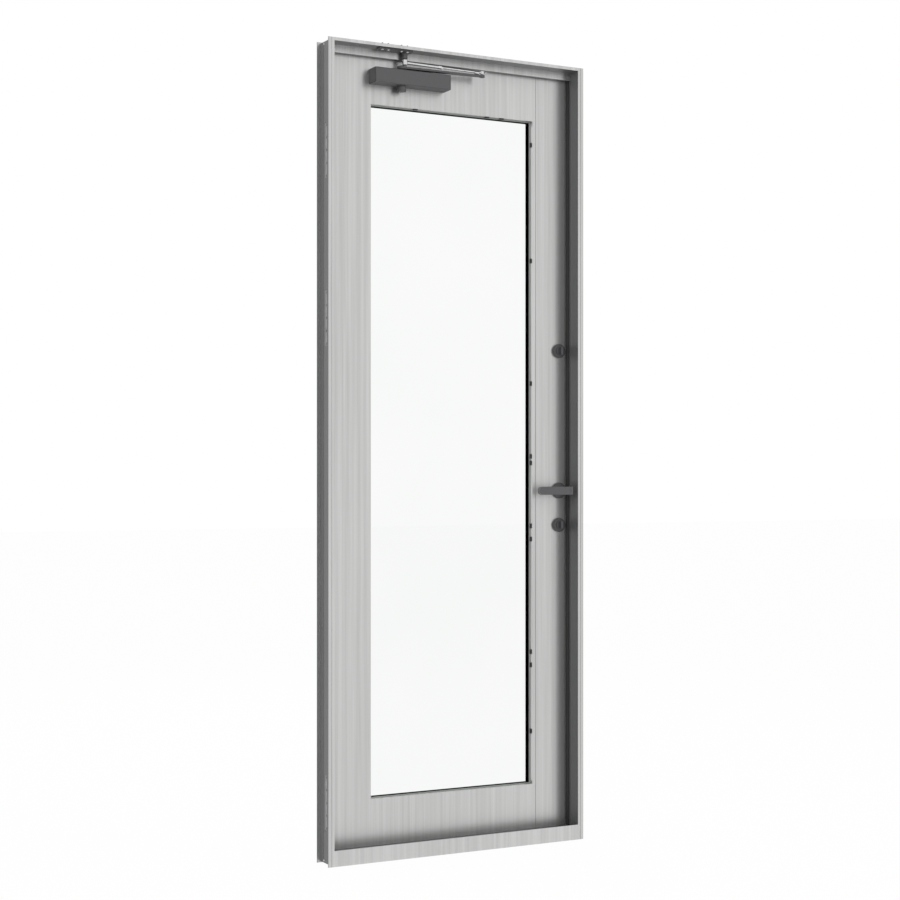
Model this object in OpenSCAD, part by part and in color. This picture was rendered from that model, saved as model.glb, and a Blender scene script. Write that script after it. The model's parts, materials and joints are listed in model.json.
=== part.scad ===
// Glazed outward opening door in its frame, seen from the room that it opens out of.
// X runs from the hinge side to the lock side, Y from the room to the outside, Z is up.
// The origin lies on the underside of the sill, half way across and half way through it.

/* [Frame] */
// Width over the frame's flanges
frame_w = 844; // [760:2:1040]
// Height over the frame's flanges
frame_h = 2330; // [2250:5:2400]
// Width of each jamb's face, seen from the room
jamb_face = 18.5; // [17:0.5:22]
// Height of the head's face
head_face = 9; // [8:0.5:12]
// Height of the sill's front face
sill_face = 45; // [40:1:52]
// Thickness of the flange plates
flange_t = 3; // [2:0.5:4]
// How far the flanges stand proud of the jamb's web
flange_proud = 10; // [8:0.5:11]
// How far the flanges stand proud of the jamb's ends and of the head's back
end_proud = 3.5; // [2.5:0.5:4]
// Depth from the front flange to the back of the rear flange
wall_depth = 80; // [70:1:90]
// Wall of the hollow frame profiles
profile_wall = 2.5; // [2:0.1:2.5]
// Height of the sill's tread above the floor
sill_top = 26; // [22:1:28]
// Fall of the sill's tread towards the outside
sill_fall = 6; // [3:1:8]

/* [Stops and seals] */
// Depth from the front face to the head's stop
stop_y = 44; // [42:1:46]
// Depth of the head's stop, front to back
stop_d = 14; // [10:1:14]
// Drop of the head's stop below the soffit
stop_drop = 22; // [18:1:23]
// Height of the sill's stop rib
sill_rib = 8; // [5:1:8]
// How far the rubber seals stand into the opening at the jambs
seal_w = 5; // [4.5:0.5:6]
// Depth of the jamb seals, front to back
seal_d = 11.7; // [8:0.1:12]
// Air between a seal and the closed leaf
seal_gap = 0.3; // [0.2:0.1:0.6]

/* [Leaf] */
// Depth from the frame's front face to the leaf's face
leaf_y = 62; // [61:1:66]
// Thickness of the leaf
leaf_t = 42; // [40:1:50]
// Gap between the leaf and the frame at the sides, top and bottom
leaf_gap = 4; // [4:0.5:5]
// Width of the hinge stile
hinge_stile_w = 139; // [110:1:150]
// Width of the lock stile, outside the vertical joint line
lock_stile_w = 109; // [100:1:120]
// Width of the narrow post between the glass and the joint line
post_w = 10.5; // [9:0.5:14]
// Height of the top rail
top_rail_h = 149.5; // [140:0.5:180]
// Height of the bottom rail
bottom_rail_h = 139; // [120:1:220]
// Width of the joint line's groove
joint_w = 1.5; // [1:0.5:2]
// Depth of the joint line's groove
joint_d = 2; // [1:0.5:2]
// Wall of the leaf's hollow profiles
leaf_wall = 3; // [2:0.5:3]

/* [Glazing] */
// Depth of the inside lip in front of the glass
lip_d = 16; // [12:1:18]
// Thickness of the glass unit
glass_t = 20; // [16:1:20]
// How far the glass reaches behind the lip
glass_bite = 8; // [6:1:8]
// Width of the rebate behind the lip
rebate_w = 11; // [10:0.5:12]
// Width of the outside beads
bead_w = 14; // [13:1:18]

/* [Hinges] */
// Height of each hinge
hinge_h = 130; // [100:5:140]
// Heights of the hinge centres above the floor
hinge_z = [174, 1544, 2018];
// Thickness of the hinge plates
hinge_t = 1.5; // [1.2:0.1:1.6]
// Radius of the hinge knuckles
knuckle_r = 6.5; // [6:0.5:7]
// Radius of the hinge pins
pin_r = 3; // [2.5:0.5:3.5]
// Radial running clearance on pins and shafts
run_gap = 0.05; // [0.03:0.01:0.1]
// Air between the knuckles and the leaf's outer face
knuckle_gap = 0.5; // [0.5:0.1:1]
// Height of the plates that back the hinges in the jamb's web
backing_h = 156; // [150:1:170]
// Width of the plates that back the hinges
backing_w = 16; // [12:1:20]
// Distance between the screws of a backing plate
backing_pitch = 36; // [30:1:36]

/* [Lock furniture] */
// Distance of the lock furniture from the leaf's edge
backset = 28; // [26:1:32]
// Height of the lever above the floor
lever_z = 1053.5; // [1000:0.5:1100]
// Height of the upper thumbturn above the floor
upper_turn_z = 1477.5; // [1400:0.5:1550]
// Height of the lower thumbturn above the floor
lower_turn_z = 949; // [900:1:980]
// Radius of the thumbturn roses
rose_r = 21.2; // [19:0.2:23]
// Radius of the lever roses
lever_rose_r = 24; // [22:0.5:24]
// Thickness of the roses
rose_t = 8.5; // [6:0.5:10]
// Length of the lever bar
lever_len = 117; // [100:1:130]
// Height of the lever bar
lever_h = 24; // [18:1:26]
// Thickness of the lever bar
lever_t = 12; // [8:1:14]
// Distance from the leaf's face to the back of the lever bar
lever_reach = 54; // [45:1:60]
// Radius of the lever's neck
neck_r = 9; // [8:0.5:10]
// Radius of the lever's spindle
spindle_r = 4.5; // [4:0.5:5]
// Radius of the outside knob
knob_r = 22; // [18:1:24]
// Distance from the leaf's outer face to the back of the outside knob
knob_reach = 38; // [30:1:50]
// Distance that the thumbturn's bar stands off its rose
turn_reach = 14; // [10:1:18]

/* [Closer] */
// Length of the closer body
closer_w = 242; // [220:1:260]
// Height of the closer body
closer_h = 43.5; // [40:0.5:50]
// Depth of the closer body
closer_d = 45; // [40:1:46]
// Distance of the closer body from the leaf's hinge edge
closer_x = 134; // [125:1:140]
// Height of the closer's top below the frame's top
closer_drop = 63.5; // [62:0.5:70]
// Distance of the closer's spindle from the body's hinge end
closer_axis = 93.5; // [85:0.5:110]
// Distance of the closer's spindle from the leaf's face
closer_axis_d = 22.5; // [20:0.5:23]
// Radius of the closer's spindle
shaft_r = 8; // [6:0.5:9]
// Radius of the main arm's hub
hub_r = 14; // [12:0.5:15]
// Distance from the frame's hinge edge to the bracket's pivot
pivot_x = 255; // [250:1:262]
// Depth from the frame's front face to the bracket's pivot
pivot_y = 31; // [30:1:32]
// Distance from the frame's hinge edge to the elbow
elbow_x = 506.5; // [490:0.5:515]
// Depth from the frame's front face to the elbow
elbow_y = 24; // [20:1:28]
// Radius of the knuckle on the bracket's pivot
ball_r = 8; // [7:0.5:8]
// Radius of the forearm's tube
tube_r = 4.5; // [4:0.5:5]
// Radius of the forearm's thin rod
rod_r = 3; // [2.5:0.5:3.5]
// Thickness of the arms' flat ends
arm_t = 7; // [5:1:7]

/* [Hidden] */
$fn = 48;
tiny = 0.01;

outer_y = leaf_y + leaf_t;
leaf_x0 = jamb_face + leaf_gap;
leaf_x1 = frame_w - jamb_face - leaf_gap;
soffit_z = frame_h - head_face;
stop_z = soffit_z - stop_drop;
leaf_z0 = sill_top + leaf_gap;
leaf_z1 = soffit_z - leaf_gap;
joint_x = leaf_x1 - lock_stile_w;
glass_x0 = leaf_x0 + hinge_stile_w;
glass_x1 = joint_x - post_w;
glass_z0 = leaf_z0 + bottom_rail_h;
glass_z1 = leaf_z1 - top_rail_h;
pane_y = leaf_y + lip_d;
furniture_x = leaf_x1 - backset;
hinge_x = jamb_face + leaf_gap - 0.5;
hinge_y = outer_y + knuckle_r + knuckle_gap;
leg_x = jamb_face - flange_t;
spindle_x = leaf_x0 + closer_x + closer_axis;
spindle_y = leaf_y - closer_axis_d;
closer_z1 = frame_h - closer_drop;
closer_z0 = closer_z1 - closer_h;
arm_z = closer_z1 + 5.5;
elbow_z = arm_z + arm_t + 2;
eye_h = 8;
pivot_z = elbow_z + 6;
ball_h = 14;
boss_h = 18;
plate_t = 3;
groove = 1;
seal_y = leaf_y - seal_gap - seal_d;
stud_r = 4;
fixing_r = 3.5;
fixing_inset = 107;
fixing_y = 30;
bracket_screw_r = 2.2;
bracket_screw_x = [-40, -21, 21, 40];
bracket_mid_x = 217;
bracket_y = 18;
bracket_half = 53;
silver = [0.78, 0.78, 0.77];
dark = [0.27, 0.27, 0.28];
rubber = [0.07, 0.07, 0.07];
chrome = [0.85, 0.85, 0.86];
steel = [0.6, 0.6, 0.61];

// Moves a piece drawn from the frame's front corner on the floor into the part's own frame
module placed() {
    translate([-frame_w / 2, -outer_y / 2, 0]) children();
}

// Turns a section drawn in depth and height into a bar that runs across the door
module across(x0, x1) {
    translate([x0, 0, 0]) rotate([90, 0, 90]) linear_extrude(x1 - x0) children();
}

// Turns a shape drawn in width and height into a plate, from y0 outwards
module outward(y0, t) {
    translate([0, y0 + t, 0]) rotate([90, 0, 0]) linear_extrude(t) children();
}

// A round bar along the depth
module rod_y(x, z, y0, y1, r) {
    translate([x, y1, z]) rotate([90, 0, 0]) cylinder(r = r, h = y1 - y0);
}

// The jamb's section behind its flanges: web, reveal wall, chamber and the leg beside the leaf
module jamb_section() {
    chamber_y = wall_depth - flange_t;
    difference() {
        union() {
            translate([flange_proud, flange_t - tiny]) square([jamb_face - flange_proud, wall_depth - flange_t - tiny]);
            translate([leg_x, wall_depth - flange_t]) square([flange_t, outer_y - wall_depth + flange_t]);
        }
        translate([flange_proud + profile_wall, flange_t])
            square([jamb_face - flange_proud - 2 * profile_wall, chamber_y - flange_t]);
        for (y = [stop_y - 1, stop_y + 4])
            translate([jamb_face - groove, y]) square([groove + 1, 1.5]);
        translate([flange_proud - 1, wall_depth / 2 + 14]) square([groove + 1, 4]);
    }
}

module jamb() {
    linear_extrude(frame_h) difference() {
        square([jamb_face, flange_t]);
        translate([flange_proud - groove / 2, -groove]) square([groove, 2 * groove]);
    }
    translate([0, wall_depth - flange_t, 0]) cube([leg_x, flange_t, frame_h]);
    translate([0, 0, end_proud]) linear_extrude(frame_h - 2 * end_proud) jamb_section();
}

// The pockets in the web of the hinge jamb that take the backing plates
module backing_pockets() {
    for (z = hinge_z)
        translate([flange_proud - 1, wall_depth / 2 - backing_w / 2, z - backing_h / 2])
            cube([profile_wall + 1 + tiny, backing_w, backing_h]);
}

module hinge_jamb() {
    color(dark) placed() difference() {
        jamb();
        backing_pockets();
    }
}

module lock_jamb() {
    color(dark) placed() difference() {
        translate([frame_w, 0, 0]) mirror([1, 0, 0]) jamb();
        strike_blank(0);
    }
}

module head_section() {
    difference() {
        union() {
            translate([0, soffit_z]) square([flange_t, head_face]);
            translate([0, soffit_z]) square([outer_y, head_face - end_proud]);
            translate([wall_depth - flange_t, soffit_z]) square([flange_t, head_face]);
            translate([stop_y, stop_z]) square([stop_d, stop_drop + 1]);
        }
        translate([stop_y + profile_wall, stop_z + profile_wall])
            square([stop_d - 2 * profile_wall, stop_drop - 2 * profile_wall]);
    }
}

module head() {
    color(silver) placed() difference() {
        across(jamb_face, frame_w - jamb_face) head_section();
        for (x = [fixing_inset, frame_w - fixing_inset])
            translate([x, fixing_y, soffit_z - 1]) cylinder(r = fixing_r, h = head_face + 2);
        for (dx = bracket_screw_x)
            translate([bracket_mid_x + dx, bracket_y, soffit_z - 1])
                cylinder(r = bracket_screw_r + 0.2, h = head_face + 2);
    }
}

module sill_section() {
    rib_y = leaf_y - seal_gap - 12;
    difference() {
        polygon([
            [0, 0], [outer_y, 0], [outer_y, sill_top - sill_fall], [leaf_y, sill_top], [rib_y + 8, sill_top],
            [rib_y + 8, sill_top + sill_rib], [rib_y, sill_top + sill_rib], [rib_y, sill_top],
            [flange_t, sill_top], [flange_t, sill_face], [0, sill_face]
        ]);
        translate([flange_t, flange_t])
            polygon([
                [0, 0], [outer_y - 2 * flange_t, 0], [outer_y - 2 * flange_t, sill_top - sill_fall - 2 * flange_t],
                [leaf_y - flange_t, sill_top - 2 * flange_t], [0, sill_top - 2 * flange_t]
            ]);
    }
}

module sill() {
    color(silver) placed() across(jamb_face, frame_w - jamb_face) sill_section();
}

module head_seal() {
    y0 = stop_y + stop_d;
    color(rubber) placed() across(jamb_face + seal_w, frame_w - jamb_face - seal_w)
        translate([y0, stop_z + 2]) square([leaf_y - seal_gap - y0, 9]);
}

module sill_seal() {
    y0 = leaf_y - seal_gap - 4;
    color(rubber) placed() across(jamb_face + seal_w, frame_w - jamb_face - seal_w)
        translate([y0, sill_top]) square([4, sill_rib]);
}

// Rubber strip on the reveal that the leaf's edge closes against
module side_seal() {
    translate([0, 0, sill_top + sill_rib]) linear_extrude(stop_z - sill_top - sill_rib) polygon([
        [jamb_face, seal_y], [jamb_face + 2, seal_y], [jamb_face + seal_w, seal_y + 4],
        [jamb_face + seal_w, seal_y + seal_d], [jamb_face, seal_y + seal_d]
    ]);
}

module hinge_side_seal() {
    color(rubber) placed() side_seal();
}

module lock_side_seal() {
    color(rubber) placed() translate([frame_w, 0, 0]) mirror([1, 0, 0]) side_seal();
}

// Frame half of a hinge: plate, the two outer knuckles and the pin
module hinge_frame_half(z) {
    third = hinge_h / 3;
    color(steel) placed() translate([0, 0, z - hinge_h / 2]) {
        translate([jamb_face, leaf_y + 4, 0]) cube([hinge_t, outer_y - leaf_y - 4, hinge_h]);
        for (k = [0, 2]) translate([0, 0, k * third]) {
            translate([hinge_x, hinge_y, k * 0.15]) cylinder(r = knuckle_r, h = third - 0.3);
            translate([jamb_face, outer_y - 1, k * 0.15]) cube([hinge_t, knuckle_r / 2 + 1, third - 0.3]);
        }
        translate([hinge_x, hinge_y, third / 2]) cylinder(r = pin_r, h = hinge_h - third);
    }
}

module top_hinge_frame_plate() {
    hinge_frame_half(hinge_z[2]);
}

module middle_hinge_frame_plate() {
    hinge_frame_half(hinge_z[1]);
}

module bottom_hinge_frame_plate() {
    hinge_frame_half(hinge_z[0]);
}

// Leaf half of a hinge: plate on the leaf's edge and the middle knuckle
module hinge_leaf_half(z) {
    third = hinge_h / 3;
    color(steel) placed() translate([0, 0, z - hinge_h / 2]) difference() {
        union() {
            translate([leaf_x0 - hinge_t, leaf_y + 4, 0]) cube([hinge_t, outer_y - leaf_y - 4, hinge_h]);
            translate([hinge_x, hinge_y, third + 0.3]) cylinder(r = knuckle_r, h = third - 0.6);
            translate([leaf_x0 - hinge_t, outer_y - 1, third + 0.3])
                cube([hinge_t, knuckle_r / 2 + 1, third - 0.6]);
        }
        translate([hinge_x, hinge_y, third - 1]) cylinder(r = pin_r + run_gap, h = third + 2);
    }
}

module top_hinge_leaf_plate() {
    hinge_leaf_half(hinge_z[2]);
}

module middle_hinge_leaf_plate() {
    hinge_leaf_half(hinge_z[1]);
}

module bottom_hinge_leaf_plate() {
    hinge_leaf_half(hinge_z[0]);
}

// Plate in the web's pocket with a row of five screw heads
module backing_plate(z) {
    color(steel) placed() {
        translate([flange_proud + 1, wall_depth / 2 - backing_w / 2, z - backing_h / 2])
            cube([profile_wall - 1, backing_w, backing_h]);
        for (k = [-2:2])
            translate([flange_proud, wall_depth / 2, z + k * backing_pitch])
                rotate([0, 90, 0]) cylinder(r = 3.2, h = profile_wall - tiny);
    }
}

module top_backing_plate() {
    backing_plate(hinge_z[2]);
}

module middle_backing_plate() {
    backing_plate(hinge_z[1]);
}

module bottom_backing_plate() {
    backing_plate(hinge_z[0]);
}

// The lock jamb's strike plate, cut with slots for the latch and the two bolts
strike_w = 24;
strike_t = 1.5;
strike_y = leaf_y + leaf_t / 2;

module strike_blank(inset) {
    translate([frame_w - jamb_face - tiny, strike_y - strike_w / 2 + inset, lower_turn_z - 60 + inset])
        cube([strike_t, strike_w - 2 * inset, upper_turn_z - lower_turn_z + 120 - 2 * inset]);
}

module strike_plate() {
    color(steel) placed() difference() {
        strike_blank(0.1);
        for (z = [lower_turn_z, lever_z, upper_turn_z])
            translate([frame_w - jamb_face - 1, strike_y - 8, z - 14]) cube([strike_t + 2, 16, 28]);
    }
}

// Closer bracket: plate under the soffit, four screws through the head, and the pivot stud
module closer_bracket() {
    color(dark) placed() {
        translate([0, 0, soffit_z - plate_t]) linear_extrude(plate_t) polygon([
            [bracket_mid_x - bracket_half, bracket_y - 10], [bracket_mid_x + bracket_half, bracket_y - 10],
            [bracket_mid_x + bracket_half + 8, pivot_y + 4], [bracket_mid_x + bracket_half - 2, stop_y - 2],
            [pivot_x - 30, stop_y - 2], [bracket_mid_x - bracket_half, bracket_y + 12]
        ]);
        for (dx = bracket_screw_x) translate([bracket_mid_x + dx, bracket_y, soffit_z - tiny])
            cylinder(r = bracket_screw_r, h = head_face + 6);
        translate([pivot_x, pivot_y, soffit_z - plate_t - boss_h]) cylinder(r = ball_r, h = boss_h + tiny);
        translate([pivot_x, pivot_y, pivot_z - eye_h / 2])
            cylinder(r = stud_r, h = soffit_z - plate_t - pivot_z + eye_h / 2);
    }
}

// Leaf profiles
module hinge_stile() {
    color(silver) placed() difference() {
        translate([leaf_x0, leaf_y, leaf_z0]) linear_extrude(leaf_z1 - leaf_z0) difference() {
            square([hinge_stile_w, leaf_t]);
            translate([leaf_wall, leaf_wall])
                square([hinge_stile_w - rebate_w - 2 * leaf_wall, leaf_t - 2 * leaf_wall]);
        }
        translate([glass_x0 - rebate_w, pane_y, glass_z0 - rebate_w])
            cube([rebate_w + 1, leaf_t, glass_z1 - glass_z0 + 2 * rebate_w]);
    }
}

module lock_stile() {
    color(silver) placed() difference() {
        translate([joint_x, leaf_y, leaf_z0]) linear_extrude(leaf_z1 - leaf_z0) difference() {
            square([lock_stile_w, leaf_t]);
            translate([leaf_wall, leaf_wall]) square([lock_stile_w - 2 * leaf_wall, leaf_t - 2 * leaf_wall]);
            translate([-1, -1]) square([joint_w + 1, joint_d + 1]);
        }
        rod_y(furniture_x, lever_z, leaf_y - 1, outer_y + 1, spindle_r + 1.5);
        faceplate_blank(0);
    }
}

module rail_section(z0, z1) {
    difference() {
        translate([leaf_y, z0]) square([leaf_t, z1 - z0]);
        translate([leaf_y + leaf_wall, z0 + leaf_wall + (z0 == leaf_z0 ? 0 : rebate_w)])
            square([leaf_t - 2 * leaf_wall, z1 - z0 - 2 * leaf_wall - rebate_w]);
        translate([pane_y, z0 == leaf_z0 ? z1 - rebate_w : z0 - 1]) square([leaf_t, rebate_w + 1]);
    }
}

module top_rail() {
    color(silver) placed() across(glass_x0, joint_x) rail_section(glass_z1, leaf_z1);
}

module bottom_rail() {
    color(silver) placed() across(glass_x0, joint_x) rail_section(leaf_z0, glass_z0);
}

// Narrow inside lip between the glass and the joint line
module glazing_post() {
    color(silver) placed() translate([glass_x1, leaf_y, glass_z0]) cube([post_w, lip_d, glass_z1 - glass_z0]);
}

module glass_pane() {
    color([0.75, 0.85, 0.82, 0.35]) placed()
        translate([glass_x0 - glass_bite, pane_y, glass_z0 - glass_bite])
            cube([glass_x1 - glass_x0 + 2 * glass_bite, glass_t, glass_z1 - glass_z0 + 2 * glass_bite]);
}

// Outside beads, with a slope towards the glass
bead_y = pane_y + glass_t;
bead_slope = 2;

module bead_section() {
    polygon([[0, 0], [bead_w, 0], [bead_w, 1], [bead_w - bead_slope, outer_y - bead_y], [0, outer_y - bead_y]]);
}

module side_bead() {
    translate([glass_x0 - rebate_w, bead_y, glass_z0 - rebate_w])
        linear_extrude(glass_z1 - glass_z0 + 2 * rebate_w) bead_section();
}

module hinge_side_bead() {
    color(silver) placed() side_bead();
}

module lock_side_bead() {
    color(silver) placed() translate([joint_x, bead_y, glass_z0 - rebate_w])
        mirror([1, 0, 0]) linear_extrude(glass_z1 - glass_z0 + 2 * rebate_w) bead_section();
}

// Level bead between the two side beads
module level_bead(z, up) {
    translate([glass_x0 - rebate_w + bead_w, bead_y, z]) rotate([90, 0, 90])
        linear_extrude(joint_x - glass_x0 + rebate_w - 2 * bead_w)
            mirror([0, up ? 0 : 1]) polygon([
                [0, 0], [outer_y - bead_y, 0], [outer_y - bead_y, bead_w - bead_slope], [1, bead_w], [0, bead_w]
            ]);
}

module bottom_bead() {
    color(silver) placed() level_bead(glass_z0 - rebate_w, true);
}

module top_bead() {
    color(silver) placed() level_bead(glass_z1 + rebate_w, false);
}

// Round rose with a stepped face and a bore, standing off a face of the leaf towards the room
module rose(z, r, bore_r) {
    difference() {
        union() {
            rod_y(furniture_x, z, leaf_y - rose_t + 2, leaf_y, r);
            rod_y(furniture_x, z, leaf_y - rose_t, leaf_y - rose_t + 2 + tiny, r - 2);
        }
        rod_y(furniture_x, z, leaf_y - rose_t - 1, leaf_y + 1, bore_r);
    }
}

// Mirrors a piece from the leaf's inside face to its outside face
module outside() {
    translate([0, leaf_y + outer_y, 0]) mirror([0, 1, 0]) children();
}

module inside_lever_rose() {
    color(dark) placed() rose(lever_z, lever_rose_r, neck_r + run_gap);
}

module outside_knob_rose() {
    color(dark) placed() outside() rose(lever_z, lever_rose_r, neck_r + run_gap);
}

turn_shaft_r = 5;

module upper_turn_rose() {
    color(dark) placed() rose(upper_turn_z, rose_r, turn_shaft_r + run_gap);
}

module lower_turn_rose() {
    color(dark) placed() rose(lower_turn_z, rose_r, turn_shaft_r + run_gap);
}

// Outside cylinder with its key slot
module key_cylinder(z) {
    color(dark) placed() outside() difference() {
        union() {
            rod_y(furniture_x, z, leaf_y - rose_t, leaf_y, rose_r);
            rod_y(furniture_x, z, leaf_y - rose_t - 3, leaf_y - rose_t + tiny, 9);
        }
        translate([furniture_x - 0.9, leaf_y - rose_t - 4, z - 4.5]) cube([1.8, 8, 9]);
    }
}

module upper_key_cylinder() {
    key_cylinder(upper_turn_z);
}

module lower_key_cylinder() {
    key_cylinder(lower_turn_z);
}

// Faceplate let into the leaf's lock edge, with the ends of the latch and the two bolts
module faceplate_blank(inset) {
    translate([leaf_x1 - strike_t, strike_y - strike_w / 2 + inset, lower_turn_z - 60 + inset])
        cube([strike_t + tiny, strike_w - 2 * inset, upper_turn_z - lower_turn_z + 120 - 2 * inset]);
}

module lock_faceplate() {
    color(steel) placed() {
        faceplate_blank(0.1);
        for (z = [lower_turn_z, lever_z, upper_turn_z])
            translate([leaf_x1 - tiny, strike_y - 6, z - 11]) cube([0.8, 12, 22]);
    }
}

// Closer body: case with softened long edges and the bore for its spindle
module closer_body() {
    edge = 2;
    color(dark) placed() difference() {
        across(leaf_x0 + closer_x, leaf_x0 + closer_x + closer_w) polygon([
            [leaf_y, closer_z0], [leaf_y, closer_z1], [leaf_y - closer_d + edge, closer_z1],
            [leaf_y - closer_d, closer_z1 - edge], [leaf_y - closer_d, closer_z0 + edge],
            [leaf_y - closer_d + edge, closer_z0]
        ]);
        translate([spindle_x, spindle_y, closer_z1 - 12]) cylinder(r = shaft_r + run_gap, h = 13);
    }
}

module closer_cap() {
    color(dark) placed() translate([spindle_x, spindle_y, closer_z0 - 16]) {
        cylinder(r = 12, h = 16);
        translate([0, 0, 4]) cylinder(r = 13, h = 10);
    }
}

// Lever handle: neck through the rose, flat bar with a round tip towards the hinges
module lever_form(from_y) {
    mid_x = furniture_x;
    front_y = leaf_y - lever_reach - lever_t;
    rod_y(mid_x, lever_z, leaf_y - lever_reach - tiny, from_y, neck_r);
    difference() {
        union() {
            translate([mid_x - lever_len + lever_h, front_y, lever_z - lever_h / 2])
                cube([lever_len - lever_h / 2, lever_t, lever_h]);
            rod_y(mid_x - lever_len + lever_h, lever_z, front_y, front_y + lever_t, lever_h / 2);
        }
        rod_y(mid_x, lever_z, front_y - 1, front_y + 0.8, neck_r - 3);
    }
}

module inside_lever() {
    color(dark) placed() {
        lever_form(leaf_y - 0.5);
        rod_y(furniture_x, lever_z, leaf_y - 0.5 - tiny, outer_y + 0.5, spindle_r);
    }
}

// Round knob on the outside, turned by the same spindle and hidden behind the stile from the room
module outside_knob() {
    color(dark) placed() outside() {
        rod_y(furniture_x, lever_z, leaf_y - knob_reach, leaf_y - 0.5, neck_r);
        rod_y(furniture_x, lever_z, leaf_y - knob_reach - lever_t, leaf_y - knob_reach + tiny, knob_r);
    }
}

// Thumbturn: shaft in its rose, disc and upright bar
module thumbturn(z) {
    face_y = leaf_y - rose_t - 0.3;
    color(dark) placed() {
        rod_y(furniture_x, z, face_y - tiny, leaf_y - 2, turn_shaft_r);
        rod_y(furniture_x, z, face_y - 3, face_y, 13);
        translate([furniture_x - 3, face_y - turn_reach, z - 11]) cube([6, turn_reach - 3 + tiny, 22]);
    }
}

module upper_thumbturn() {
    thumbturn(upper_turn_z);
}

module lower_thumbturn() {
    thumbturn(lower_turn_z);
}

// Flat bar between two points that narrows from one end to the other
module tapered_bar(x0, y0, r0, x1, y1, r1, t) {
    len = norm([x1 - x0, y1 - y0]);
    translate([x0, y0, 0]) rotate([0, 0, atan2(y1 - y0, x1 - x0)]) linear_extrude(t)
        polygon([[0, -r0], [len, -r1], [len, r1], [0, r0]]);
}

module main_arm() {
    color(dark) placed() {
        translate([spindle_x, spindle_y, closer_z1 - 11]) cylinder(r = shaft_r, h = arm_z - closer_z1 + 12);
        translate([spindle_x, spindle_y, arm_z - 4]) cylinder(r1 = shaft_r + 1, r2 = hub_r - 1, h = 4 + tiny);
        translate([0, 0, arm_z]) {
            translate([spindle_x, spindle_y, 0]) cylinder(r = hub_r, h = arm_t);
            translate([0, 0, 0.75]) tapered_bar(spindle_x, spindle_y, hub_r - 4, elbow_x, elbow_y, 6, arm_t - 1.5);
            translate([elbow_x, elbow_y, 0]) cylinder(r = 8, h = arm_t);
            translate([elbow_x, elbow_y, arm_t - tiny]) cylinder(r = 4, h = elbow_z - arm_z - arm_t - 0.3);
        }
    }
}

// Forearm: knuckle round the bracket's stud, tube, thin rod and the eye over the elbow
module forearm() {
    reach = norm([elbow_x - pivot_x, elbow_y - pivot_y]);
    turn = atan2(elbow_y - pivot_y, elbow_x - pivot_x);
    start_z = pivot_z + 3;
    end_z = elbow_z + eye_h / 2;
    slope = atan2(start_z - end_z, reach);
    color(chrome) placed() difference() {
        union() {
            translate([pivot_x, pivot_y, pivot_z - eye_h / 2]) cylinder(r = ball_r, h = ball_h);
            translate([elbow_x, elbow_y, elbow_z]) cylinder(r = 7, h = eye_h);
            translate([pivot_x, pivot_y, start_z]) rotate([0, 0, turn]) rotate([0, 90 + slope, 0]) {
                cylinder(r = tube_r, h = reach * 0.45);
                cylinder(r = rod_r, h = reach);
            }
        }
        translate([pivot_x, pivot_y, pivot_z - eye_h]) cylinder(r = stud_r + run_gap, h = ball_h + 2 * eye_h);
    }
}

hinge_jamb();
lock_jamb();
head();
sill();
head_seal();
sill_seal();
hinge_side_seal();
lock_side_seal();
top_hinge_frame_plate();
middle_hinge_frame_plate();
bottom_hinge_frame_plate();
top_backing_plate();
middle_backing_plate();
bottom_backing_plate();
strike_plate();
closer_bracket();
hinge_stile();
lock_stile();
top_rail();
bottom_rail();
glazing_post();
glass_pane();
hinge_side_bead();
lock_side_bead();
top_bead();
bottom_bead();
top_hinge_leaf_plate();
middle_hinge_leaf_plate();
bottom_hinge_leaf_plate();
inside_lever_rose();
outside_knob_rose();
upper_turn_rose();
lower_turn_rose();
upper_key_cylinder();
lower_key_cylinder();
lock_faceplate();
closer_body();
closer_cap();
inside_lever();
outside_knob();
upper_thumbturn();
lower_thumbturn();
main_arm();
forearm();
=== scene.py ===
import json
import math

import bmesh
import bpy
from mathutils import Matrix, Vector


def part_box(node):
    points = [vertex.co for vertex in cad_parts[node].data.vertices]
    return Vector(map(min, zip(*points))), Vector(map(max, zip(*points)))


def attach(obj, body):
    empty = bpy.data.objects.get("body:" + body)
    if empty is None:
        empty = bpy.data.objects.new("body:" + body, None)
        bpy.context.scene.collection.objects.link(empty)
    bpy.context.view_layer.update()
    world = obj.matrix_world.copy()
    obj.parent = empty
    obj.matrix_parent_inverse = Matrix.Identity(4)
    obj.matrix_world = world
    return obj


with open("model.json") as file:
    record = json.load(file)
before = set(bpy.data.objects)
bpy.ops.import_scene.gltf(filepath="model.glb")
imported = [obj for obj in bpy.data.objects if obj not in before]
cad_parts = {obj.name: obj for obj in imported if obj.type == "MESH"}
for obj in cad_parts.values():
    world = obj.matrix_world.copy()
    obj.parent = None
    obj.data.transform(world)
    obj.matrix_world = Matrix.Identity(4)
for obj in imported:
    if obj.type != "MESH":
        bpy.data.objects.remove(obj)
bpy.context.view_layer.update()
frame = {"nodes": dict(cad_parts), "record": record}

# Camera fitted to the corners of the front flange in the photograph, with its place in metres and its lens
# and sensor in millimetres
CAMERA_PLACE = (-2.4965, -4.6264, 1.0995)
CAMERA_TURN = math.radians(-28.28)
CAMERA_LENS = 71.56
SENSOR_WIDTH = 36.0
HORIZON_SHIFT = 0.0282

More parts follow.
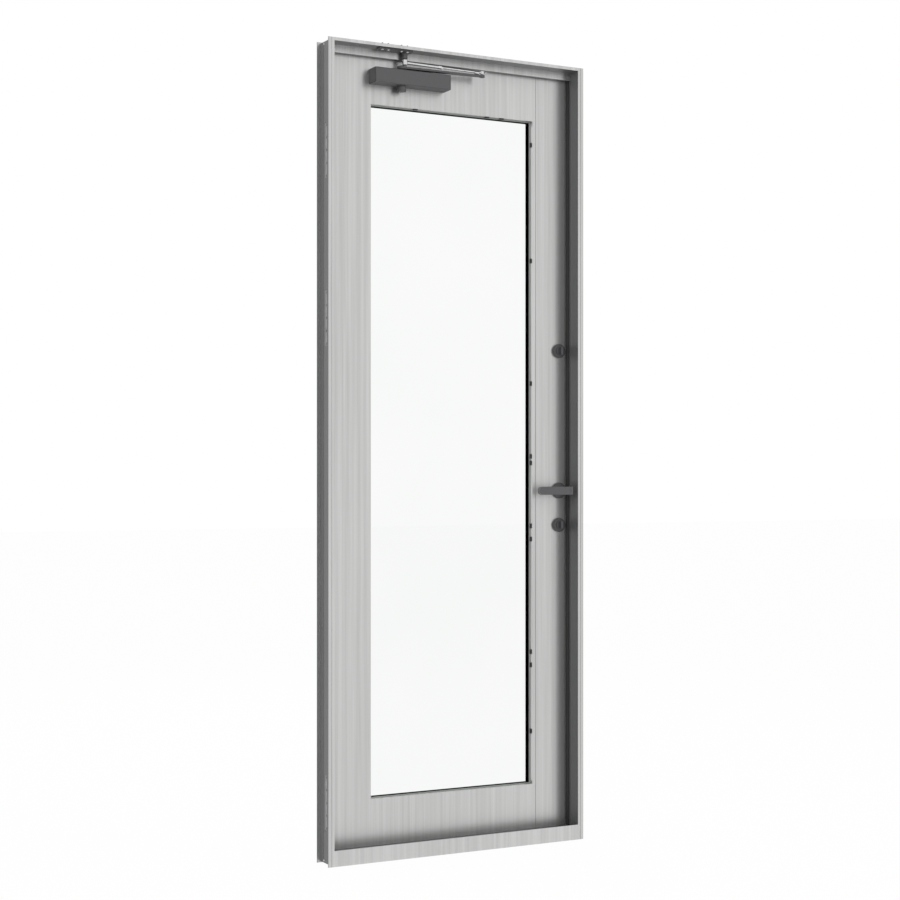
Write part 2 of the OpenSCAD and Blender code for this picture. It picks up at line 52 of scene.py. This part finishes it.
# Linear colours
BRUSHED_LIGHT = (0.70, 0.70, 0.695, 1)
BRUSHED_SHADE = (0.50, 0.50, 0.495, 1)
# Painted shade for the frame's side faces, at its darker and its paler grain
SIDE_SHADE_DARK = (0.105, 0.105, 0.108, 1)
SIDE_SHADE_PALER = (0.13, 0.13, 0.133, 1)
RUBBER_BLACK = (0.02, 0.02, 0.021, 1)
GASKET_GREY = (0.30, 0.32, 0.30, 1)
PAINT_DARK = (0.075, 0.075, 0.078, 1)
FURNITURE_DARK = (0.10, 0.10, 0.104, 1)
STEEL_GREY = (0.32, 0.32, 0.325, 1)
CHROME = (0.72, 0.72, 0.73, 1)
GLASS_TINT = (0.93, 0.945, 0.935, 1)
GLASS_LIGHT = (0.95, 0.955, 0.95, 1)
FLOOR_SHADE = (0.90, 0.90, 0.90, 1)
FLOOR_LIGHT = (0.93, 0.93, 0.93, 1)
WHITE = (1, 1, 1, 1)

# The brushed grain: how its noises stretch, how much each counts and how deep it is
FINE_GRAIN = (900, 900, 4)
WIDE_STREAKS = (85, 85, 0.9)
SLOW_CLOUDS = (1, 1, 0.7)
CLOUD_SCALE = 1.3
CLOUD_OFFSET = (3, 1, 0)
STREAK_SHARE = 0.5
CLOUD_SHARE = 0.22
# How much grain shows in the painted shade on the frame's side faces
SIDE_SHADE_GRAIN_SHARE = 0.35
GRAIN_STRENGTH = 0.25
GRAIN_DEPTH = 0.00012
BRUSHED_METALLIC = 0.9
BRUSHED_ROUGHNESS = 0.32
BRUSHED_STRETCH = 0.55
BRUSHED_TURN = 0.25
# A frame's face counts as a front or back face, which stays bright metal, when its normal leans on Y by more
# than this. Every other face gets painted shade
SQUARE_LIMIT = 0.7

# Other finishes
SPECK_SCALE = 900.0
SPECK_LIFT = 1.3
FINISH_DEPTH = 0.0001
WEAR_SCALE = 60.0
WEAR_SHADE = 0.8
RIPPLE_SCALE = 250.0
RIPPLE_STRENGTH = 0.05
GLASS_ROUGHNESS = 0.02
GLASS_IOR = 1.06

# Sockets of the mix node when it mixes colours
MIX_FACTOR = 0
MIX_FIRST = 6
MIX_SECOND = 7
MIX_RESULT = 2

# Softened edges of the CAD nodes and of the added blocks
EDGE_WIDTH = 0.0004
EDGE_ANGLE = math.radians(50)
BLOCK_CHAMFER = 0.18
# A radius below this is a point on the axis
AXIS_LIMIT = 1e-6

# Glazing gasket, measured from the glass pane's edges and front
GASKET_INSET = 0.0075
GASKET_WIDTH = 0.0035
GASKET_DEPTH = 0.0022
GASKET_SINK = 0.0001

# Glazing clips: sizes and places. Those on the lock side and at the top roughly follow dark specks in the
# photograph. Those on the hinge side are hidden there and guessed.
CLIP_GAP = 0.0002
CLIP_THICK = 0.0022
CLIP_LENGTH = 0.014
CLIP_FRONT = 0.011
CLIP_BACK = 0.0035
LOCK_SIDE_CLIPS = (0.32, 0.52, 0.56, 0.90, 0.94, 1.13, 1.15, 1.37, 1.74, 2.09)
HINGE_SIDE_CLIPS = (0.40, 0.86, 1.32, 1.78)
TOP_CLIPS = (-0.12, 0.12, 0.17)

# Screw heads
HEAD_SINK = 0.0008
HEAD_SIDES = 20
CORNER_SCREW_R = 0.0028
BRACKET_SCREW_R = 0.0040
VALVE_R = 0.0042
CASE_SCREW_R = 0.0038

# Corner screws: the web's distance behind the flange's edge, their depth and their distance from the ends
WEB_INSET = 0.010
CORNER_SCREW_Y = 0.052
CORNER_SCREW_END = 0.010

# Closer bracket: its screws' middle from the plate's corner, their offsets, and the plate under the soffit
BRACKET_MIDDLE_X = 0.053
BRACKET_SCREW_Y = 0.010
BRACKET_SCREW_X = (-0.040, -0.021, 0.021, 0.040)
STOP_DROP = 0.022
BRACKET_PLATE = 0.003

# Closer case: valves on its hidden lock side end, which are guessed, screws on the top and the end plate
VALVE_SPREAD = 0.010
VALVE_SETBACK = 0.004
CASE_SCREW_INSET = 0.016
END_PLATE = 0.0012
END_PLATE_INSET = 0.0025
END_PLATE_BACK = 0.001
ARM_TOP = 0.0125
NUT_SIDES = 6

# Forearm: the knuckle's middle below its top, and the elbow
KNUCKLE_DROP = 0.0045
ELBOW_X = 0.0845
ELBOW_Y = -0.028
ELBOW_RISE = 0.002
SLEEVE_CHAMFER = 0.0008
SLEEVE_END = 0.85
# Share of the way along, length, radius and sides of the sleeve, the lock nut and the end collar
SLEEVES = ((0.42, 0.012, 0.0056, 32), (0.465, 0.006, 0.0058, 6), (0.90, 0.014, 0.0046, 32))
CLIP_WIRE_R = 0.0011
CLIP_WIRE_DEPTH = 0.0080
CLIP_WIRE = ((-0.010, 0.004), (-0.004, -0.002), (0.004, -0.002), (0.010, 0.005))

# Turned outlines, as radius and distance along the axis
SPINDLE_NUT = [(0, -0.0002), (0.0085, -0.0002), (0.0085, 0.0015), (0.0055, 0.003), (0, 0.003)]
PIN_TIP = [(0, -0.0005), (0.0055, -0.0005), (0.0055, 0.001), (0.003, 0.003), (0, 0.0035)]
PIN_TIP_SIDES = 24
KNUCKLE_R = 0.0065

# Studio: light that fills the room, what the camera sees, the floor and the lamps
WORLD_FILL = 0.62
WORLD_SEEN = 1.0
FLOOR_SIZE = 60
FLOOR_GLOW = 0.97
LAMP_TARGET = (0, 0, 1.2)
# Name, place, size and power of each lamp
LAMPS = (
    ("key_lamp", (-2.6, -3.2, 3.4), 2.2, 55),
    ("fill_lamp", (3.2, -2.6, 2.2), 2.4, 30),
    ("back_lamp", (0.5, 3.5, 3.2), 2.4, 40),
)


def place_camera():
    data = bpy.data.cameras.new("camera")
    data.lens = CAMERA_LENS
    data.sensor_width = SENSOR_WIDTH
    data.shift_y = HORIZON_SHIFT
    camera = bpy.data.objects.new("camera", data)
    camera.location = CAMERA_PLACE
    camera.rotation_euler = (math.pi / 2, 0, CAMERA_TURN)
    bpy.context.collection.objects.link(camera)
    bpy.context.scene.camera = camera


def feed(tree, value, socket):
    """Links a node's output to a socket, or sets the socket to a plain value."""
    if isinstance(value, bpy.types.NodeSocket):
        tree.links.new(value, socket)
    else:
        socket.default_value = value


def calculate(tree, operation, first, second):
    node = tree.nodes.new("ShaderNodeMath")
    node.operation = operation
    feed(tree, first, node.inputs[0])
    feed(tree, second, node.inputs[1])
    return node.outputs[0]


def plainly_seen(tree):
    """1 for rays from the camera, through glass or off a shiny face, and 0 for light that fills the room."""
    path = tree.nodes.new("ShaderNodeLightPath")
    direct = calculate(tree, "MAXIMUM", path.outputs["Is Camera Ray"], path.outputs["Is Transmission Ray"])
    return calculate(tree, "MAXIMUM", direct, path.outputs["Is Glossy Ray"])


def show_mixed(tree, share, first, second, output_name):
    """Mixes two shaders by a share and shows the result."""
    node = tree.nodes.new("ShaderNodeMixShader")
    tree.links.new(share, node.inputs[0])
    tree.links.new(first, node.inputs[1])
    tree.links.new(second, node.inputs[2])
    tree.links.new(node.outputs[0], tree.nodes[output_name].inputs["Surface"])


class Finish:
    """A material with short calls for the nodes that this scene uses."""

    def __init__(self, name):
        self.material = bpy.data.materials.new(name)
        self.material.use_nodes = True
        self.tree = self.material.node_tree
        self.shader = self.tree.nodes["Principled BSDF"]
        self.place = self.tree.nodes.new("ShaderNodeTexCoord")

    def link(self, start, end):
        self.tree.links.new(start, end)

    def noise(self, scale, detail=4.0, stretch=(1, 1, 1), offset=(0, 0, 0)):
        mapping = self.tree.nodes.new("ShaderNodeMapping")
        mapping.inputs["Scale"].default_value = stretch
        mapping.inputs["Location"].default_value = offset
        self.link(self.place.outputs["Object"], mapping.inputs["Vector"])
        texture = self.tree.nodes.new("ShaderNodeTexNoise")
        texture.inputs["Scale"].default_value = scale
        texture.inputs["Detail"].default_value = detail
        self.link(mapping.outputs["Vector"], texture.inputs["Vector"])
        return texture.outputs["Fac"]

    def ramp(self, value, low_color, high_color, low=0.3, high=0.7):
        node = self.tree.nodes.new("ShaderNodeValToRGB")
        node.color_ramp.elements[0].position = low
        node.color_ramp.elements[1].position = high
        node.color_ramp.elements[0].color = low_color
        node.color_ramp.elements[1].color = high_color
        self.link(value, node.inputs["Fac"])
        return node.outputs["Color"]

    def mix(self, share, first, second):
        node = self.tree.nodes.new("ShaderNodeMix")
        node.data_type = "RGBA"
        feed(self.tree, share, node.inputs[MIX_FACTOR])
        feed(self.tree, first, node.inputs[MIX_FIRST])
        feed(self.tree, second, node.inputs[MIX_SECOND])
        return node.outputs[MIX_RESULT]

    def normal_y(self):
        node = self.tree.nodes.new("ShaderNodeSeparateXYZ")
        self.link(self.place.outputs["Normal"], node.inputs[0])
        return node.outputs["Y"]

    def color(self, value):
        self.link(value, self.shader.inputs["Base Color"])

    def bump(self, height, strength, distance):
        node = self.tree.nodes.new("ShaderNodeBump")
        node.inputs["Strength"].default_value = strength
        node.inputs["Distance"].default_value = distance
        self.link(height, node.inputs["Height"])
        self.link(node.outputs["Normal"], self.shader.inputs["Normal"])

    def surface(self, metallic, roughness, specular=0.5):
        self.shader.inputs["Metallic"].default_value = metallic
        self.shader.inputs["Roughness"].default_value = roughness
        self.shader.inputs["Specular IOR Level"].default_value = specular


def paint_shade_on_sides(finish, color, fine):
    """Keeps front and back faces bright and paints shade on every other face, as a dark colour that is not
    metallic.
    """
    facing = calculate(finish.tree, "ABSOLUTE", finish.normal_y(), 0.0)
    square = calculate(finish.tree, "GREATER_THAN", facing, SQUARE_LIMIT)
    # Painted shade: a dark colour with a little grain for the side faces
    dark = finish.mix(SIDE_SHADE_GRAIN_SHARE, SIDE_SHADE_DARK, finish.ramp(fine, SIDE_SHADE_DARK, SIDE_SHADE_PALER))
    # Only the front and back faces stay metallic, the painted shade is not
    metallic = calculate(finish.tree, "MULTIPLY", square, BRUSHED_METALLIC)
    finish.link(metallic, finish.shader.inputs["Metallic"])
    return finish.mix(square, dark, color)


def brushed_metal(name, with_side_shade):
    """Metal with upright grain, on every face, or only on the front and back faces with painted shade on
    every other face.
    """
    finish = Finish(name)
    fine = finish.noise(1.0, 3.0, FINE_GRAIN)
    streak = finish.noise(1.0, 2.0, WIDE_STREAKS)
    cloud = finish.noise(CLOUD_SCALE, 2.0, SLOW_CLOUDS, CLOUD_OFFSET)
    color = finish.ramp(fine, BRUSHED_SHADE, BRUSHED_LIGHT)
    color = finish.mix(STREAK_SHARE, color, finish.ramp(streak, BRUSHED_SHADE, BRUSHED_LIGHT, 0.35, 0.68))
    color = finish.mix(CLOUD_SHARE, color, finish.ramp(cloud, BRUSHED_SHADE, BRUSHED_LIGHT))
    finish.surface(BRUSHED_METALLIC, BRUSHED_ROUGHNESS)
    # The side faces get painted shade instead of metal
    if with_side_shade:
        color = paint_shade_on_sides(finish, color, fine)
    finish.color(color)
    finish.shader.inputs["Anisotropic"].default_value = BRUSHED_STRETCH
    finish.shader.inputs["Anisotropic Rotation"].default_value = BRUSHED_TURN
    tangent = finish.tree.nodes.new("ShaderNodeTangent")
    tangent.direction_type = "RADIAL"
    tangent.axis = "Z"
    finish.link(tangent.outputs["Tangent"], finish.shader.inputs["Tangent"])
    finish.bump(finish.mix(STREAK_SHARE, fine, streak), GRAIN_STRENGTH, GRAIN_DEPTH)
    return finish.material


def painted(name, color, roughness, grain, metallic=0.0):
    finish = Finish(name)
    speck = finish.noise(SPECK_SCALE, 3.0)
    lifted = tuple(c * SPECK_LIFT for c in color[:3]) + (1,)
    finish.color(finish.ramp(speck, color, lifted, low=0.35))
    finish.surface(metallic, roughness)
    finish.bump(speck, grain, FINISH_DEPTH)
    return finish.material


def polished(name, color, roughness):
    finish = Finish(name)
    duller = tuple(c * WEAR_SHADE for c in color[:3]) + (1,)
    finish.color(finish.ramp(finish.noise(WEAR_SCALE), color, duller, 0.4, 0.75))
    finish.surface(1.0, roughness)
    finish.bump(finish.noise(RIPPLE_SCALE), RIPPLE_STRENGTH, FINISH_DEPTH)
    return finish.material


def clear_glass(name):
    finish = Finish(name)
    finish.color(finish.ramp(finish.noise(2.0), GLASS_TINT, GLASS_LIGHT))
    finish.surface(0.0, GLASS_ROUGHNESS)
    finish.shader.inputs["Transmission Weight"].default_value = 1.0
    finish.shader.inputs["IOR"].default_value = GLASS_IOR
    return finish.material


MATERIALS = {
    "brushed_face": brushed_metal("brushed_face", with_side_shade=False),
    # The frame's side faces get painted shade, its front and back faces stay brushed metal
    "frame_metal": brushed_metal("frame_metal", with_side_shade=True),
    "seal_rubber": painted("seal_rubber", RUBBER_BLACK, roughness=0.75, grain=0.3),
    "hinge_steel": polished("hinge_steel", STEEL_GREY, roughness=0.38),
    "glass": clear_glass("glass"),
    "furniture": painted("furniture", FURNITURE_DARK, roughness=0.38, grain=0.12, metallic=0.6),
    "closer_paint": painted("closer_paint", PAINT_DARK, roughness=0.48, grain=0.35),
    "arm_chrome": polished("arm_chrome", CHROME, roughness=0.1),
}
GASKET = painted("glazing_gasket", GASKET_GREY, roughness=0.6, grain=0.2)


def finish_cad_nodes():
    """Gives each CAD node its slot's material and a fine softened edge."""
    slots = {row["node"]: row["material_slot"] for row in frame["record"]["subparts"]}
    for name, node in frame["nodes"].items():
        node.data.materials.clear()
        node.data.materials.append(MATERIALS[slots[name]])
        edge = node.modifiers.new("soft_edge", "BEVEL")
        edge.width = EDGE_WIDTH
        edge.segments = 2
        edge.limit_method = "ANGLE"
        edge.angle_limit = EDGE_ANGLE


def joint_place(name):
    """A joint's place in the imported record."""
    return next(row["pos_m"] for row in frame["record"]["behaviour"]["joints"] if row["name"] == name)


def hand_over(piece, body):
    """Puts a piece into the scene under the body that carries it."""
    bpy.context.collection.objects.link(piece)
    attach(piece, body)


def add_piece(name, bm, slot_name, body, material=None):
    mesh = bpy.data.meshes.new(name)
    bmesh.ops.recalc_face_normals(bm, faces=bm.faces)
    bm.to_mesh(mesh)
    bm.free()
    mesh.materials.append(material or MATERIALS[slot_name])
    hand_over(bpy.data.objects.new(name, mesh), body)


def ring(bm, where, radius, height, sides):
    """The points of one ring of a turned solid, or its single point on the axis."""
    if radius < AXIS_LIMIT:
        return [bm.verts.new(where @ Vector((0, 0, height)))]
    angles = [2 * math.pi * k / sides for k in range(sides)]
    points = [Vector((radius * math.cos(a), radius * math.sin(a), height)) for a in angles]
    return [bm.verts.new(where @ point) for point in points]


def turned(bm, profile, start, direction, sides=32):
    """Adds a turned solid, whose profile runs from its axis back to its axis."""
    turn = Vector(direction).to_track_quat("Z", "Y").to_matrix().to_4x4()
    where = Matrix.Translation(Vector(start)) @ turn
    rings = [ring(bm, where, radius, height, sides) for radius, height in profile]
    for lower, upper in zip(rings, rings[1:]):
        for k in range(sides):
            corners = [lower[k % len(lower)], lower[(k + 1) % len(lower)],
                       upper[(k + 1) % len(upper)], upper[k % len(upper)]]
            corners = list(dict.fromkeys(corners))
            if len(corners) > 2:
                bm.faces.new(corners)


def block(bm, low, high):
    """Adds a box with lightly chamfered edges."""
    size = [b - a for a, b in zip(low, high)]
    middle = [(a + b) / 2 for a, b in zip(low, high)]
    place = Matrix.Translation(middle) @ Matrix.Diagonal((*size, 1))
    made = bmesh.ops.create_cube(bm, size=1, matrix=place)
    edges = list({e for v in made["verts"] for e in v.link_edges})
    chamfer = min(size) * BLOCK_CHAMFER
    bmesh.ops.bevel(bm, geom=edges, offset=chamfer, segments=2, profile=0.5, affect="EDGES")


def screw_head(bm, place, direction, r):
    """A pan head with a driver recess, in shares of its radius."""
    outline = [
        (0, -HEAD_SINK), (r, -HEAD_SINK), (r, r * 0.25), (r * 0.85, r * 0.5),
        (r * 0.45, r * 0.58), (r * 0.38, r * 0.2), (0, r * 0.15)
    ]
    turned(bm, outline, place, direction, HEAD_SIDES)


def glazing_gasket():
    """The grey gasket on the glass, just inside the pane's edges."""
    low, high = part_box("glass_pane")
    x0, x1 = low[0] + GASKET_INSET, high[0] - GASKET_INSET
    z0, z1 = low[2] + GASKET_INSET, high[2] - GASKET_INSET
    y0, y1 = low[1] - GASKET_DEPTH, low[1] + GASKET_SINK
    inner_x0, inner_x1 = x0 + GASKET_WIDTH, x1 - GASKET_WIDTH
    bm = bmesh.new()
    block(bm, (x0, y0, z0), (inner_x0, y1, z1))
    block(bm, (inner_x1, y0, z0), (x1, y1, z1))
    block(bm, (inner_x0, y0, z0), (inner_x1, y1, z0 + GASKET_WIDTH))
    block(bm, (inner_x0, y0, z1 - GASKET_WIDTH), (inner_x1, y1, z1))
    add_piece("glazing_gasket", bm, "seal_rubber", "leaf", GASKET)


def glazing_clips():
    """Small dark clips beside the glass, on both stiles and under the top rail."""
    pane_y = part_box("glass_pane")[0][1]
    y0, y1 = pane_y - CLIP_FRONT, pane_y - CLIP_BACK
    bm = bmesh.new()
    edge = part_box("glazing_post")[0][0] - CLIP_GAP
    for z in LOCK_SIDE_CLIPS:
        block(bm, (edge - CLIP_THICK, y0, z), (edge, y1, z + CLIP_LENGTH))
    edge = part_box("hinge_stile")[1][0]
    for z in HINGE_SIDE_CLIPS:
        block(bm, (edge + CLIP_GAP, y0, z), (edge + CLIP_THICK, y1, z + CLIP_LENGTH))
    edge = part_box("top_rail")[0][2] - CLIP_GAP
    for x in TOP_CLIPS:
        block(bm, (x, y0, edge - CLIP_THICK), (x + CLIP_LENGTH, y1, edge))
    add_piece("glazing_clips", bm, "seal_rubber", "leaf")


def frame_corner_screws():
    """A screw near each end of both jambs' outer webs."""
    bm = bmesh.new()
    for outward, jamb in ((-1, "hinge_jamb"), (1, "lock_jamb")):
        low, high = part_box(jamb)
        web = low[0] + WEB_INSET if outward < 0 else high[0] - WEB_INSET
        for z in (low[2] + CORNER_SCREW_END, high[2] - CORNER_SCREW_END):
            screw_head(bm, (web, low[1] + CORNER_SCREW_Y, z), (outward, 0, 0), CORNER_SCREW_R)
    add_piece("frame_corner_screws", bm, "arm_chrome", "frame")


def bracket_screws():
    """Screw heads under the closer bracket's plate."""
    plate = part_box("closer_bracket")[0]
    x = plate[0] + BRACKET_MIDDLE_X
    y = plate[1] + BRACKET_SCREW_Y
    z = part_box("head")[0][2] + STOP_DROP - BRACKET_PLATE
    bm = bmesh.new()
    for offset in BRACKET_SCREW_X:
        screw_head(bm, (x + offset, y, z), (0, 0, -1), BRACKET_SCREW_R)
    add_piece("bracket_screw_heads", bm, "arm_chrome", "frame")


def closer_details():
    """Valve screws on the closer's lock side end, screws on its top and a plate on its hinge side end."""
    low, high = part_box("closer_body")
    middle_y = (low[1] + high[1]) / 2
    middle_z = (low[2] + high[2]) / 2
    bm = bmesh.new()
    for z in (middle_z - VALVE_SPREAD, middle_z + VALVE_SPREAD):
        screw_head(bm, (high[0], middle_y - VALVE_SETBACK, z), (1, 0, 0), VALVE_R)
    for x in (low[0] + CASE_SCREW_INSET, high[0] - CASE_SCREW_INSET):
        screw_head(bm, (x, middle_y, high[2]), (0, 0, 1), CASE_SCREW_R)
    add_piece("closer_valves", bm, "arm_chrome", "leaf")
    plate = bmesh.new()
    plate_low = (low[0] - END_PLATE, low[1] + END_PLATE_INSET, low[2] + END_PLATE_INSET)
    block(plate, plate_low, (low[0], high[1] - END_PLATE_BACK, high[2] - END_PLATE_INSET))
    add_piece("closer_end_plate", plate, "closer_paint", "leaf")


def spindle_nut():
    """The six sided nut on top of the main arm's hub."""
    x, y = joint_place("main_arm_swing")[:2]
    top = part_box("closer_body")[1][2] + ARM_TOP
    bm = bmesh.new()
    turned(bm, SPINDLE_NUT, (x, y, top), (0, 0, 1), NUT_SIDES)
    add_piece("spindle_nut", bm, "arm_chrome", "closer_main_arm")


def elbow_clip(elbow):
    """The spring clip's wire in front of the elbow."""
    wire = bpy.data.curves.new("elbow_clip", "CURVE")
    wire.dimensions = "3D"
    wire.bevel_depth = CLIP_WIRE_R
    wire.bevel_resolution = 3
    spline = wire.splines.new("BEZIER")
    spline.bezier_points.add(len(CLIP_WIRE) - 1)
    for knot, (dx, dz) in zip(spline.bezier_points, CLIP_WIRE):
        knot.co = (elbow.x + dx, elbow.y - CLIP_WIRE_DEPTH, elbow.z + dz)
        knot.handle_left_type = "AUTO"
        knot.handle_right_type = "AUTO"
    wire.materials.append(MATERIALS["arm_chrome"])
    hand_over(bpy.data.objects.new("elbow_clip", wire), "closer_forearm")


def forearm_details():
    """Sleeve, lock nut and end collar along the forearm, and the clip at the elbow."""
    low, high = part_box("forearm")
    x, y = joint_place("forearm_swing")[:2]
    pivot = Vector((x, y, high[2] - KNUCKLE_DROP))
    elbow = Vector((ELBOW_X, ELBOW_Y, low[2] + ELBOW_RISE))
    bm = bmesh.new()
    for share, length, radius, sides in SLEEVES:
        end_radius = radius * SLEEVE_END
        outline = [(0, 0), (end_radius, 0), (radius, SLEEVE_CHAMFER), (radius, length - SLEEVE_CHAMFER),
                   (end_radius, length), (0, length)]
        turned(bm, outline, pivot.lerp(elbow, share), elbow - pivot, sides)
    add_piece("forearm_sleeves", bm, "arm_chrome", "closer_forearm")
    elbow_clip(elbow)


def hinge_pin_tips():
    """Rounded tips at both ends of each hinge."""
    x = joint_place("door_swing")[0]
    bm = bmesh.new()
    for name in ("top", "middle", "bottom"):
        low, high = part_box(name + "_hinge_frame_plate")
        y = high[1] - KNUCKLE_R
        turned(bm, PIN_TIP, (x, y, high[2]), (0, 0, 1), PIN_TIP_SIDES)
        turned(bm, PIN_TIP, (x, y, low[2]), (0, 0, -1), PIN_TIP_SIDES)
    add_piece("hinge_pin_tips", bm, "hinge_steel", "frame")


def white_world():
    """Soft light all round, seen as plain white."""
    scene = bpy.context.scene
    scene.view_settings.view_transform = "Standard"
    scene.world = bpy.data.worlds.new("studio")
    scene.world.use_nodes = True
    tree = scene.world.node_tree
    fill = tree.nodes["Background"]
    seen = tree.nodes.new("ShaderNodeBackground")
    for shader, strength in ((fill, WORLD_FILL), (seen, WORLD_SEEN)):
        shader.inputs["Color"].default_value = WHITE
        shader.inputs["Strength"].default_value = strength
    show_mixed(tree, plainly_seen(tree), fill.outputs[0], seen.outputs[0], "World Output")


def pale_floor():
    bpy.ops.mesh.primitive_plane_add(size=FLOOR_SIZE, location=(0, 0, 0))
    floor = bpy.context.object
    floor.name = "floor"
    cover = Finish("pale_floor")
    cover.color(cover.ramp(cover.noise(3.0), FLOOR_SHADE, FLOOR_LIGHT))
    cover.surface(0.0, 0.9, 0.1)
    glow = cover.tree.nodes.new("ShaderNodeEmission")
    share = calculate(cover.tree, "MULTIPLY", plainly_seen(cover.tree), FLOOR_GLOW)
    show_mixed(cover.tree, share, cover.shader.outputs[0], glow.outputs[0], "Material Output")
    floor.data.materials.append(cover.material)


def soft_lamps():
    """Area lamps that light the door and aren't seen themselves."""
    for name, place, size, power in LAMPS:
        data = bpy.data.lights.new(name, "AREA")
        data.size = size
        data.energy = power
        lamp = bpy.data.objects.new(name, data)
        lamp.visible_glossy = False
        lamp.visible_camera = False
        lamp.visible_transmission = False
        lamp.location = place
        lamp.rotation_euler = (Vector(LAMP_TARGET) - Vector(place)).to_track_quat("-Z", "Y").to_euler()
        bpy.context.collection.objects.link(lamp)


place_camera()
finish_cad_nodes()
glazing_gasket()
glazing_clips()
frame_corner_screws()
bracket_screws()
closer_details()
spindle_nut()
forearm_details()
hinge_pin_tips()
white_world()
pale_floor()
soft_lamps()
